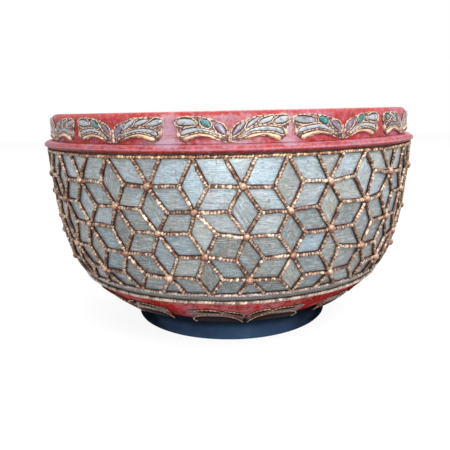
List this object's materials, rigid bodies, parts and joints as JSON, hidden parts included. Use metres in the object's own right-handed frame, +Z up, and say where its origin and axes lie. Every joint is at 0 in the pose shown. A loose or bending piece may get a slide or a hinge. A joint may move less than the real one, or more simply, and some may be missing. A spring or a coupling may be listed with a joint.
{
  "type": "lacquered bamboo bowl",
  "caption": "Round lacquered bamboo offering bowl with a glass mosaic wall under gilded cords, a red rim band with leaf reliefs, and a flared black foot.",
  "frame": {"origin": "under the middle of the foot, on the surface the bowl stands on", "axes": "+Z up along the axis of the bowl, the pictured front towards -Y"},
  "size_m": [0.29, 0.29, 0.1662],
  "materials": {
    "cinnabar_lacquer": "red cinnabar lacquer over bamboo, satin, rubbed darker and pinkish with age",
    "black_lacquer": "black lacquer, satin gloss",
    "silvered_glass": "aged silvered glass, grey-green, faintly streaked",
    "gilt_putty": "gilded lacquer putty, rubbed, with dark hollows",
    "pale_gilt_putty": "lacquer putty with pale worn gilding",
    "dark_relief": "dark glass set in gilded lacquer putty, bronze brown",
    "bamboo": "coiled split bamboo, bare"
  },
  "bodies": {
    "root": {"bamboo_wall": "bamboo", "bamboo_base": "bamboo", "lacquer_lining": "cinnabar_lacquer", "rim_band": "cinnabar_lacquer", "ridge_moulding": "cinnabar_lacquer", "mosaic_ground": "silvered_glass", "cord_net": "gilt_putty", "glass_strip": "silvered_glass", "pale_cord": "pale_gilt_putty", "lower_band": "cinnabar_lacquer", "foot_ring": "black_lacquer", "base_coat": "black_lacquer", "rim_leaf_01": "gilt_putty", "rim_leaf_02": "gilt_putty", "rim_leaf_03": "gilt_putty", "rim_leaf_04": "gilt_putty", "rim_leaf_05": "gilt_putty", "rim_leaf_06": "gilt_putty", "rim_leaf_07": "gilt_putty", "rim_leaf_08": "gilt_putty", "rim_leaf_09": "gilt_putty", "rim_leaf_10": "gilt_putty", "rim_leaf_11": "gilt_putty", "rim_leaf_12": "gilt_putty", "rim_leaf_13": "gilt_putty", "rim_leaf_14": "gilt_putty", "rim_leaf_15": "gilt_putty", "rim_leaf_16": "gilt_putty", "rim_leaf_17": "gilt_putty", "rim_leaf_18": "gilt_putty", "rim_leaf_19": "gilt_putty", "rim_leaf_20": "gilt_putty", "rim_leaf_21": "gilt_putty", "rim_leaf_22": "gilt_putty", "rim_leaf_23": "gilt_putty", "rim_leaf_24": "gilt_putty", "base_leaf_01": "dark_relief", "base_leaf_02": "dark_relief", "base_leaf_03": "dark_relief", "base_leaf_04": "dark_relief", "base_leaf_05": "dark_relief", "base_leaf_06": "dark_relief", "base_leaf_07": "dark_relief", "base_leaf_08": "dark_relief", "base_leaf_09": "dark_relief", "base_leaf_10": "dark_relief", "base_leaf_11": "dark_relief", "base_leaf_12": "dark_relief", "base_leaf_13": "dark_relief", "base_leaf_14": "dark_relief"}
  },
  "joints": []
}
